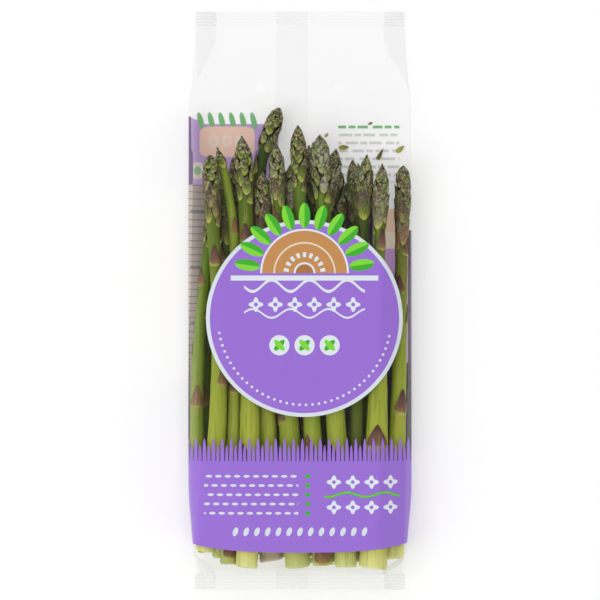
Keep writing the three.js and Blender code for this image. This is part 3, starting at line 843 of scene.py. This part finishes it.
# The film's picture: where the outer face, the inner face and the fin start across it, and their widths.
PICTURE_STARTS = np.array([0.0, 0.95, 0.975])
PICTURE_WIDTHS = np.array([0.94, 0.02, 0.02])
PICTURE_MARGIN = 0.01
RIM_ON_PICTURE = 0.002
ON_GUSSET = 0.49  # the largest number, either way, that marks a point as on a gusset for the print
UNPRINTED = 1000  # where the print takes the bare film to lie, far along the bag


def film_rows():
    """Stations along the bag, close together on the seals, and which of them lie between the seals."""
    bottom = np.arange(BOTTOM_SEAL["end"], BOTTOM_SEAL["start"] - SEAL_STEP / 2, SEAL_STEP)
    top = np.arange(TOP_SEAL["end"], TOP_SEAL["start"] + SEAL_STEP / 2, -SEAL_STEP)[::-1]
    steps = round((TOP_SEAL["start"] - BOTTOM_SEAL["start"]) / BODY_STEP)
    body = np.linspace(BOTTOM_SEAL["start"], TOP_SEAL["start"], steps + 1)
    return np.concatenate([bottom, body, top]), slice(len(bottom), len(bottom) + len(body))


def empty_depth(y):
    """Depth of the bag where nothing fills it, which falls towards its top."""
    towards_top = np.clip((y - 30) / 132, 0, 1)
    return 2 + 17 * np.cos(math.pi / 2 * towards_top) ** 0.9


def film_reach(spears, ys, cos, sin):
    """How far the film reaches towards every facing, at every station."""
    y = ys[:, None]
    rounding = empty_depth(y) / 2
    reach = (half_width(y) - WALL - rounding) * abs(cos) + rounding + (WALL + rounding) * sin
    for spear in spears:
        share = spear.share(np.clip(y, *spear.y))
        held = spear.axis_x(share) * cos + spear.axis_z(share) * sin + spear.side_reach(share) + CLEARANCE
        reach = np.maximum(reach, np.where(spear.is_near(y), held, -np.inf))
    for seal, on_seal in ((BOTTOM_SEAL, y <= BOTTOM_SEAL["start"]), (TOP_SEAL, y >= TOP_SEAL["start"])):
        flat = (half_width(y) - WALL - CORNER) * abs(cos) + CORNER + seal["height"] * sin
        reach = np.where(on_seal, flat, reach)
    return reach


def pulled_taut(ys, reach):
    """The film spans what lies lower between two stations: the upper hull along the bag, facing by facing."""
    spanned = np.empty_like(reach)
    for k in range(reach.shape[1]):
        hull = []
        for point in zip(ys, reach[:, k]):
            while len(hull) > 1 and lies_below(hull[-1], hull[-2], point):
                hull.pop()
            hull.append(point)
        spanned[:, k] = np.interp(ys, *zip(*hull))
    return lerp(reach, spanned, TAUTNESS)


def lies_below(point, before, after):
    """True if a point lies below the line between its neighbours."""
    return (point[1] - before[1]) * (after[0] - before[0]) <= (after[1] - before[1]) * (point[0] - before[0])


def section_corners(reach, cos, sin):
    """x and z of every section's corners, where two neighbouring sides meet."""
    cos_next = np.roll(cos, -1)
    sin_next = np.roll(sin, -1)
    following = np.roll(reach, -1, axis=1)
    turn = cos * sin_next - cos_next * sin
    x = (reach * sin_next - following * sin) / turn
    z = (following * cos - reach * cos_next) / turn
    return np.stack([x, z], -1)


def along_section(corners):
    """Points along one section from the middle of the back round by the right, evenly between its creases."""
    first, last = corners[0], corners[-1]
    middle = last + (first - last) * np.clip(-last[0] / (first[0] - last[0]), 0, 1)
    path = np.vstack([middle, corners, middle])
    along = np.concatenate([[0], np.cumsum(np.linalg.norm(np.diff(path, axis=0), axis=1))])
    stops = [0, *(along[1 + corner] for corner in CREASES), along[-1]]
    at = np.concatenate([np.linspace(a, b, n, endpoint=False) for a, b, n in zip(stops, stops[1:], STEPS)])
    return np.stack([np.interp(at, along, path[:, 0]), np.interp(at, along, path[:, 1])], -1)


def panels():
    """For every column: 1 on the front, -1 on the back and 0 on a gusset; and how far it lies from its
    gusset's middle, from -1 at the back to 1 at the front."""
    panel = np.repeat([-1, 0, 1, 0, -1], STEPS)
    half = np.linspace(-1, 1, GUSSET_STEPS, endpoint=False)
    blank = [np.ones(steps) for steps in STEPS]
    return panel, np.concatenate([blank[0], half, blank[2], -half, blank[4]])


def wrinkles(rng, x, y, panel):
    """How far the film stands off from its taut shape."""
    away = np.zeros_like(x)
    near_top = np.exp(-((TOP_SEAL["start"] - y) / PLEAT_REACH["top"]).clip(0) ** 1.3)
    near_bottom = np.exp(-((y - BOTTOM_SEAL["start"]) / PLEAT_REACH["bottom"]).clip(0) ** 1.3)
    for width, height in PLEATS:
        phase = rng.uniform(0, 2 * math.pi, 3)
        wave = 2 * math.pi * x / width + phase[0] + 0.9 * np.sin(y / 19 + phase[1])
        away += height * np.sin(wave + panel * phase[2]) * (near_top + 0.8 * near_bottom)
    for _ in range(RIDGE["count"]):
        from_x = x - rng.uniform(-62, 62)
        from_y = y - rng.uniform(-150, 160)
        turn = rng.normal(math.pi / 2, 0.7)
        run = from_x * math.cos(turn) + from_y * math.sin(turn)
        aside = from_y * math.cos(turn) - from_x * math.sin(turn)
        length = rng.uniform(*RIDGE["length"])
        width = rng.uniform(*RIDGE["width"])
        bow = 0.006 * rng.normal() * run**2
        ridge = np.exp(-((run / length) ** 2) - ((aside + bow) / width) ** 2)
        on_panel = 1 if rng.uniform() < 0.6 else -1
        away += rng.uniform(*RIDGE["height"]) * ridge * (panel == on_panel)
    held = np.where(panel < 0, -0.6 * abs(away), 0.25 + 0.8 * away.clip(0))
    held = np.where(panel == 0, 0, held)
    on_seal = near_ends(y, TOP_SEAL["start"] - 3, 3, BOTTOM_SEAL["start"] + 1.5, 1.5)
    return lerp(lerp(held, away, near_ends(y, *ROOMY)), 0, on_seal)


def crimps(y):
    """The ribs pressed into both seals, alike through all their layers."""
    start = CRIMP["start"]
    on_seal = near_ends(y, TOP_SEAL["start"] + start, start, BOTTOM_SEAL["start"] - start, start)
    return on_seal * CRIMP["depth"] * np.sin(2 * math.pi * y / CRIMP["pitch"])


def film_surface(spears, ys, body, panel, off_middle):
    """The film's outer face as rows of points, and its taut shape, which the print lies on."""
    turns = 2 * math.pi * np.arange(FACINGS) / FACINGS - math.pi / 2
    cos, sin = np.cos(turns), np.sin(turns)
    reach = film_reach(spears, ys, cos, sin)
    reach[body] = pulled_taut(ys[body], reach[body])
    outline = np.array([along_section(corners) for corners in section_corners(reach + LOOSENESS, cos, sin)])
    x, z = outline[..., 0], outline[..., 1]
    y = np.broadcast_to(ys[:, None], x.shape)
    folded = near_ends(y, *GUSSET_FOLD) * np.where(panel == 0, 1 - abs(off_middle), 0)
    x = x - np.sign(x) * GUSSET_DEPTH * folded
    taut = np.stack([x, y, z], -1)
    away = wrinkles(np.random.default_rng(SEED), x, y, np.broadcast_to(panel, x.shape))
    points = taut + away[..., None] * outward(taut)
    points[..., 2] = np.maximum(points[..., 2] + crimps(y), LOWEST)
    return points, taut


def film_mesh(spears):
    """The film: its outer face, its inner face and the fin, with its print and its picture."""
    ys, body = film_rows()
    panel, off_middle = panels()
    points, taut = film_surface(spears, ys, body, panel, off_middle)
    out = outward(points)
    numbers = np.arange(len(ys) * COLUMNS).reshape(len(ys), COLUMNS)
    count = numbers.size
    kept = np.ones((len(ys) - 1, COLUMNS), bool)
    vents = [numbers[vent_rim(points, kept, panel, middle)] for middle in (-VENT["x"], VENT["x"])]
    faces = tube_quads(numbers)[kept.ravel()]
    quads = [
        *(tube_quads([rim, rim + count]) for rim in vents),
        faces[:, ::-1],
        faces + count,
        tube_quads([numbers[0], numbers[0] + count]),
        tube_quads([numbers[-1], numbers[-1] + count])[:, ::-1],
    ]

    strip = np.arange(-FIN["left"], FIN["right"] + 1)
    top = points[:, strip] + FIN["gap"] * out[:, strip]
    under = points[:, strip] + (FIN["gap"] + FIN["thickness"]) * out[:, strip]
    fin = np.concatenate([top, under[:, ::-1]], axis=1)
    fin_numbers = 2 * count + np.arange(len(ys) * fin.shape[1]).reshape(len(ys), -1)
    quads.append(tube_quads(fin_numbers))
    for row, order in ((0, -1), (-1, 1)):
        near = fin_numbers[row, :len(strip)]
        far = fin_numbers[row, ::-1][:len(strip)]
        quads.append(tube_quads([near, far])[:-1, ::order])

    inner = points - THICKNESS * out
    everything = np.concatenate([grid.reshape(-1, 3) for grid in (points, inner, fin)])
    corners = np.concatenate(quads)
    used, renumbered = np.unique(corners, return_inverse=True)
    mesh = mesh_of("film", everything[used] * METRE, [renumbered.reshape(-1, 4)])
    looks = np.tile([0.0, UNPRINTED, 0.0], (len(everything), 1))
    looks[:count, :2] = taut[..., :2].reshape(-1, 2)
    looks[:count, 2] = np.tile(np.where(panel == 0, ON_GUSSET * off_middle, panel), len(ys))
    set_attribute(mesh, "print", looks[used])
    places = picture_places(corners, ys, count, fin.shape[1])
    picture = mesh.uv_layers.new(name="OFBake")
    picture.uv.foreach_set("vector", places.astype(np.float32).ravel())
    return mesh


def vent_rim(points, kept, panel, middle):
    """Moves the film's points next to a vent onto its rim, drops the faces inside it, and returns the
    rows and columns of the rim's points, clockwise as the columns run."""
    row = abs(points[:, 0, 1] - VENT["y"]).argmin()
    column = np.where(panel < 0, abs(points[row, :, 0] - middle), np.inf).argmin()
    up, across = np.mgrid[-VENT_HALF:VENT_HALF + 1, -VENT_HALF:VENT_HALF + 1]
    edge = np.maximum(abs(up), abs(across)) == VENT_HALF
    angle = np.arctan2(up, across)[edge]
    order = np.argsort(-angle)
    angle = angle[order]
    rim = row + up[edge][order], column + across[edge][order]
    points[*rim, 0] = middle + VENT["radius"] * np.cos(angle)
    points[*rim, 1] = VENT["y"] + VENT["radius"] * np.sin(angle)
    kept[row - VENT_HALF:row + VENT_HALF, column - VENT_HALF:column + VENT_HALF] = False
    return rim


def picture_places(corners, ys, count, fin_columns):
    """Where every corner of the film's faces lies on its picture: columns run across it and rows up it."""
    layer = np.minimum(corners // count, 2)
    columns = np.where(layer == 2, fin_columns, COLUMNS)
    row, column = np.divmod(corners - layer * count, columns)
    closes = np.ptp(column, axis=1)[:, None] > columns / 2
    column = column + columns * (closes & (column < columns / 2))
    lowest = layer.min(axis=1)[:, None]
    across = PICTURE_STARTS[lowest] + PICTURE_WIDTHS[lowest] * column / columns
    up = lerp(PICTURE_MARGIN, 1 - PICTURE_MARGIN, ys[row] / BAG_LENGTH + 0.5)
    aside = RIM_ON_PICTURE * (layer > lowest)
    return np.stack([across + aside, up + np.where(row > 0, aside, -aside)], -1)


def outward(points):
    """Unit normals of a grid of points that closes round its rows."""
    round_it = np.roll(points, -1, axis=1) - np.roll(points, 1, axis=1)
    along = np.gradient(points, axis=0)
    return unit(np.cross(along, round_it))


# ---- the film's print

DISC = {"x": 2.7, "y": -11.0, "radius": 56.4, "rim": 58.7}
SUN_Y = 16
BAND = {"top": -96.0, "bottom": -150.4}

PURPLE = (153, 111, 211)
PALE = (214, 222, 228)
WHITE = (222, 229, 236)
TAN = (196, 140, 84)
DEEP_TAN = (170, 114, 64)
GREEN = (63, 174, 42)
LIGHT_GREEN = (127, 214, 58)
CREAM = (228, 214, 190)
# The back's print is seen from its inner side.
BACK_PURPLE = (204, 176, 222)
SIDE_PURPLE = (104, 82, 120)
# Dark purple on the right gusset: its print, darkened to paint the shade at the bag's right edge.
SIDE_SHADE = (86, 54, 92)
BACK_TAN = (242, 214, 200)
BACK_GREEN = (150, 202, 150)
BACK_PALE = (236, 226, 214)
BACK_CREAM = (250, 240, 224)
# Dark ink under the gaps between the spears, which paints the shade there.
BACK_DEEP_SHADE = (62, 48, 74)
BACK_GREY = (226, 226, 224)
BACK_PINK = (252, 226, 204)
BACK_LILAC = (222, 184, 232)
BACK_MAGENTA = (176, 104, 190)
RULED = (186, 172, 163)
RULE_GREY = (128, 124, 120)

# Plain blocks on the back: left, right, lower and upper side, and colour.
BLOCKS = [
    (44, 68, 41, 55, BACK_PINK),
    (44, 68, 31, 41, BACK_CREAM),
    (44, 68, -96, 31, BACK_LILAC),
    # The next two blocks are dark ink that paints the shade between the spears on the right.
    (24, 44, -96, 61, BACK_DEEP_SHADE),
    (44, 68, -96, -38, BACK_DEEP_SHADE),
    (-40, -13, -60, 69.6, BACK_MAGENTA),
]
BLADES = [(1.2, 5.3, 1.15, 13.5), (3.9, 5.3, 0.95, 9.5), (2.6, 2.65, 0.85, 4.5)]  # start, pitch, half sizes


def oval(u, v, y, half_u, half_v, turn=0.0, x=0):
    """1 inside an oval about (x, y), whose u axis is turned by an angle."""
    across = (u - x) * math.cos(turn) + (v - y) * math.sin(turn)
    up = (v - y) * math.cos(turn) - (u - x) * math.sin(turn)
    return (across / half_u).squared() + (up / half_v).squared() < 1


def bloom(u, v, y, long_u, long_v):
    """Four petals about (0, y), which reach this far across and up."""
    return oval(u, v, y, long_u, 1.7) | oval(u, v, y, 1.7, long_v)


def between(field, low, high):
    return (field > low) & (field < high)


def print_layers(u, v, panel):
    """The print, from the bottom layer up: pairs of where it lies (0 or 1) and its colour."""
    layers = []

    def ink(colour, *where):
        layers.append((reduce(Field.__and__, where), colour))

    front = panel > 0.5
    back = panel < -0.5
    side = panel.size() < 0.5
    behind = panel < 0

    # The back, seen from inside through the clear front: a corner with sprigs, a label and a badge, ...
    slant = (u * -1 - 57 | 0.0) * 0.45 + 106.2
    corner = (u < -13) & (v < slant) & (v > 69.6) & behind
    ink(BACK_PURPLE, corner)
    ink(SIDE_PURPLE, corner, side)
    ink(BACK_GREEN, back, oval((u + 44).cell(6.4), v, 108, 1.7, 5.4, 0.25), between(u, -63.2, -24.8))
    ink(BACK_TAN, back, ((u + 44) / 16.6) ** 6.0 + ((v - 95.5) / 9.2) ** 6.0 < 1)
    rings = (u + 48).cell(8)
    ink(BACK_PALE, back, between(u, -56, -32), oval(rings, v, 96, 3.1, 3.9))
    ink(BACK_TAN, back, between(u, -56, -32), oval(rings, v, 96, 1.3, 2.0))
    ink(BACK_PALE, back, oval(u, v, 78, 4.6, 5.2, x=-61.8))
    ink(BACK_GREEN, back, oval(u, v, 78, 2.2, 2.6, x=-61.8))

    # ... a ruled table down the left, lines of short strokes on the upper right, and plain blocks, the deep
    # ones painted shade.
    ruled = (u < -54) & between(v, -84, 69.6) & behind
    ink(RULED, ruled)
    ink(RULE_GREY, ruled, v.cell(4.2).size() < 0.3)
    ink(RULE_GREY, ruled, (v - 3).cell(33.6).size() < 0.9, u > -66)
    row = ((v - 1.2) / 4.8).math("FLOOR")
    line = ((v - 1.2).cell(4.8).size() < 0.85) & between(v, 71, 108)
    strokes = (u + row * 3.7 + (u / 3.1 + row).sine() * 1.4).cell(7.5).size() < 2.9
    lines = back & line & strokes & between(u, 23, 60)
    ink(BACK_GREY, lines)
    ink(BACK_GREEN, lines, v > 103)
    for left, right, low, high, colour in BLOCKS:
        ink(colour, back, between(u, left, right), between(v, low, high))
    # Painted shade with print: dark purple down the right gusset, for the shade at the bag's edge.
    ink(SIDE_SHADE, side, behind, u > 62, between(v, -96, 42))
    ink(SIDE_PURPLE, side, behind, u < -62, between(v, -96, -50))

    # The band at the cut ends goes all round, with blades along its top.
    lower_edge = (u / 67).size() ** 3.0 * 5.6 + BAND["bottom"]
    ink(PURPLE, v < BAND["top"], v > lower_edge)
    for start, pitch, half_u, half_v in BLADES:
        blade = oval((u + start).cell(pitch), v, BAND["top"], half_u, half_v)
        ink(PURPLE, blade, v > BAND["top"] - 1, panel > -0.5)

    # Blooms along a wavy stalk on the right of the band, studs and lozenges on its left, and a row of petals.
    on_right = front & between(u, 14.6, 59.4)
    for middle in (-108.5, -123.5):
        at = (u - 14.6).cell(11.2)
        ink(WHITE, on_right, bloom(at, v, middle, 4.3, 4.0))
        ink(PURPLE, on_right, oval(at, v, middle, 1.1, 1.1))
    stalk = (v - (u / 3.56).sine() * 1.3 + 116).size()
    ink(GREEN, on_right, stalk < 0.75)
    ink(LIGHT_GREEN, on_right, stalk < 0.28)
    for number, middle in enumerate((-105, -110.5, -116, -121.5, -127)):
        at = (u + 57 + 2.3 * number).cell(5.6)
        ink(PALE, front & between(u, -57, -1), oval(at, v, middle, 1.9, 0.8))
        ink(GREEN, front, oval(u, v, middle, 1.7, 1.1, 0.5, x=4.6))
    ink(PALE, oval((u + 41.6).cell(6.4), v, -138, 1.5, 2.7, -0.35), front, between(u, -41.6, 41.6))

    # The disc on the front.
    from_x = u - DISC["x"]
    from_y = v - DISC["y"]
    distance = (from_x.squared() + from_y.squared()).root()
    angle = from_y.math("ARCTAN2", from_x)
    inside = front & (distance < DISC["radius"])
    ink(PALE, front, distance < DISC["rim"])
    ink(PURPLE, inside)
    pearls = (distance - 51.5).squared() + ((angle + 0.02).cell(2 * math.pi / 84) * 51.5).squared() < 0.6
    ink(WHITE, inside, pearls, from_y < -8)

    # A rising sun with leaves for its rays, ...
    sun_y = v - SUN_Y
    sun = (from_x.squared() + sun_y.squared()).root()
    sun_angle = sun_y.math("ARCTAN2", from_x)
    ray = sun_angle.cell(math.pi / 11)
    ray_leaf = ((sun - 34.5) / 7.5).squared() + (ray * sun / 3.4).squared() < 1
    glow = front & (sun_y > 0)
    ink(WHITE, glow, sun < 26.5)
    ink(TAN, glow, sun < 25.3)
    ink(CREAM, glow, between(sun, 17.6, 18.6))
    ink(WHITE, glow, between(sun, 9.5, 12.5), sun_angle.cell(math.pi / 9).size() < 0.09)
    ink(WHITE, glow, sun < 6.5)
    ink(DEEP_TAN, glow, sun < 5.3)
    ink(GREEN, glow, ray_leaf)
    ink(LIGHT_GREEN, glow, ray_leaf, ray > 0)

    # ... over a bar, blooms between two waves, and three medals.
    ink(WHITE, inside, between(from_y, 22.6, 25.6), from_x.size() < 44)
    for middle, swing, half in ((8.5, 3.4, 0.9), (-8.0, -2.6, 0.6)):
        wave = v - (u / 3.6).sine() * swing
        ink(WHITE, inside, (wave - middle).size() < half, from_x.size() < 36)
    petals = from_x.cell(11.6)
    ink(WHITE, inside, from_x.size() < 34.8, bloom(petals, v, -2.7, 4.4, 4.4))
    ink(PURPLE, inside, from_x.size() < 34.8, oval(petals, v, -2.7, 1.2, 1.2))
    medals = (from_x + 7.5).cell(15)
    in_row = inside & (from_x.size() < 22.5)
    ink(WHITE, in_row, oval(medals, v, -27, 6.0, 6.0))
    ink(GREEN, in_row, oval(medals, v, -27, 4.2, 1.7, 0.8))
    ink(LIGHT_GREEN, in_row, oval(medals, v, -27, 4.2, 1.7, -0.8))
    return layers


def printed_film(tree):
    """Clear glossy film with a little haze on its seals, and ink that lets some light through on the back."""
    u, v, panel = attribute(tree, "print")
    layers = print_layers(u, v, panel)
    ink = tinted(tree, srgb(*layers[0][1]), *layers[1:])
    inked = reduce(Field.__or__, [where for where, colour in layers]) & (v < 0.9 * UNPRINTED)

    facing = Field(tree, add_node(tree, "LayerWeight", {"Blend": 0.5}).outputs["Facing"])
    gleam = facing ** 5.0 * 0.45 + 0.0015
    relief = bump(tree, noise(tree, 120, detail=4), 0.25, 0.0008)
    on_seal = (v > TOP_SEAL["start"]) | (v < BOTTOM_SEAL["start"])
    thick = (u.size() > 50.5) | between(u, -14.5, 4.5)
    ribs = (v.cell(CRIMP["pitch"]) / (CRIMP["pitch"] / 2)).size().ramp(0.35, 0.75)
    scatter = (on_seal & ribs) * (thick * 0.075 + 0.012) + 0.002

    clear = add_node(tree, "BsdfTransparent", {"Color": (0.99, 0.99, 0.99, 1)})
    haze = add_node(tree, "BsdfDiffuse", {"Color": (0.8, 0.8, 0.82, 1)})
    gloss = add_node(tree, "BsdfGlossy", {"Color": (1, 1, 1, 1), "Roughness": 0.1, "Normal": relief})
    paint = add_node(tree, "BsdfPrincipled", {
        "Base Color": ink,
        "Roughness": 0.38,
        "Specular IOR Level": 0.16,
        "Normal": relief,
    })
    lit_through = add_node(tree, "BsdfTranslucent", {"Color": ink})
    film = mix_shaders(tree, gleam, mix_shaders(tree, scatter, clear, haze), gloss)
    return mix_shaders(tree, inked, film, mix_shaders(tree, (panel < -0.5) * 0.75, paint, lit_through))


# ---- loose scale leaves

LOOSE_BROWNING = (0.12, 0.62, 0.08, 0.07, 0.2)  # from yellow at 0 to brown at 1
LOOSE_THICKNESS = 0.25
# Half width as a share of the length, where it is widest, and the share and tone that give its colours.
LOOSE_LEAF = (0.23, 0.7, 0.2, 0.2)
SHARD = (0.17, 0.4, 0.9, 0.55)  # widest near its root, and dark olive
SHARD_NUMBER = 2


def loose_scale_mesh(number, x, y, length, turn):
    """A curled pointed leaf on the back film."""
    width, fullest, share, tone = SHARD if number == SHARD_NUMBER else LOOSE_LEAF
    shell = Shell()
    rows = np.linspace(0, 1, 15)[1:-1, None]
    columns = np.linspace(-1, 1, 9)[None]
    half = width * length * np.sin(math.pi * rows**fullest) ** 0.8
    along = length * (rows - 0.5) + 0 * columns
    rise = WALL + CLEARANCE + 0.35 * columns**2 * half + 0.9 * rows**2
    top = np.stack([along, half * columns, rise], -1)
    rings = np.concatenate([top, (top - [0, 0, LOOSE_THICKNESS])[:, ::-1]], axis=1)
    tips = np.array([[-length / 2, 0, WALL + CLEARANCE], [length / 2, 0, WALL + CLEARANCE + 0.9]])
    browning = LOOSE_BROWNING[number - 1] * (0.4 + 0.6 * rows)
    across = abs(np.concatenate([columns, columns[:, ::-1]], axis=1))
    looks = looks_of(rings.shape[:-1], share, tone, 0, browning, across, 1)
    turned = np.array([[math.cos(turn), math.sin(turn), 0], [-math.sin(turn), math.cos(turn), 0], [0, 0, 1]])
    numbers = shell.add(rings @ turned + [x, y, 0], looks)
    ends = shell.add(tips @ turned + [x, y, 0], looks[[0, -1], 0])
    shell.tube(numbers)
    shell.fan(numbers[0], ends[0], flip=True)
    shell.fan(numbers[-1], ends[1])
    return shell.mesh(f"fallen_scale_{number}")


# ---- the bundle

spears = []
for level, layer in LAYERS:
    for sizes in layer:
        spears.append(Spear(len(spears) + 1, level, **sizes))
settle(spears)

skin = shader_tree(bpy.data.materials.new("asparagus"), "OutputMaterial", asparagus_skin)
for spear in spears:
    piece(spear_mesh(spear), skin, f"spear_{spear.number:02d}")
for number, sizes in enumerate(LOOSE_SCALES, 1):
    piece(loose_scale_mesh(number, **sizes), skin, f"loose_scale_{number}")
film = shader_tree(bpy.data.materials.new("printed_film"), "OutputMaterial", printed_film)
piece(film_mesh(spears), film, "bag")

# ---- floor, light and camera

FLOOR_HALF = 8.0
FLOOR_GLOW = 0.28  # how much of its light the floor gives itself, which keeps it pale
# Soft boxes: turn and lean in degrees, strength, and how wide each looks in degrees.
LIGHTS = {
    "top_box": (200, 10, 1.3, 70),
    "left_box": (203, 50, 0.65, 36),
    "right_box": (-32, 50, 0.4, 36),
    "head_box": (98, 45, 0.3, 45),
}
CAMERA_LENS = 300
CAMERA_FRAME = 0.36  # width of the picture at the level of the bag's sides
CAMERA_LEVEL = 0.018
SENSOR = 36


def pale_floor(tree):
    matt = add_node(tree, "BsdfDiffuse", {"Color": (0.95, 0.95, 0.95, 1)})
    glow = add_node(tree, "Emission", {"Color": (1, 1, 1, 1), "Strength": 1.2})
    return mix_shaders(tree, FLOOR_GLOW, matt, glow)


def studio_sky(tree):
    """White light all round, brightest from the sides."""
    direction = tree.nodes.new("ShaderNodeTexCoord").outputs["Generated"]
    height = Field(tree, add_node(tree, "SeparateXYZ", {0: direction}).outputs["Z"])
    strength = height.ramp(0.0, 0.9, 0.95, 0.12)
    return add_node(tree, "Background", {"Color": (1, 1, 1, 1), "Strength": strength})


def add_light(name, turn, lean, strength, width):
    light = bpy.data.lights.new(name, "SUN")
    light.energy = strength
    light.angle = math.radians(width)
    sun = put(name, light)
    sun.rotation_euler = (0, math.radians(lean), math.radians(turn))
    return sun


scene = bpy.context.scene
scene.view_settings.view_transform = "Standard"
scene.cycles.transparent_max_bounces = 48

floor_corners = FLOOR_HALF * np.array([[-1, -1, 0], [1, -1, 0], [1, 1, 0], [-1, 1, 0]])
floor = put("floor", mesh_of("floor", floor_corners, [np.array([[0, 1, 2, 3]])]))
floor.data.materials.append(shader_tree(bpy.data.materials.new("floor"), "OutputMaterial", pale_floor))
lights = [add_light(name, *sizes) for name, sizes in LIGHTS.items()]
scene.world = shader_tree(bpy.data.worlds.new("studio"), "OutputWorld", studio_sky)

camera = put("camera", bpy.data.cameras.new("camera"))
camera.data.sensor_width = SENSOR
camera.data.lens = CAMERA_LENS
camera.location = (0, 0, CAMERA_LEVEL + CAMERA_FRAME * CAMERA_LENS / SENSOR)
scene.camera = camera
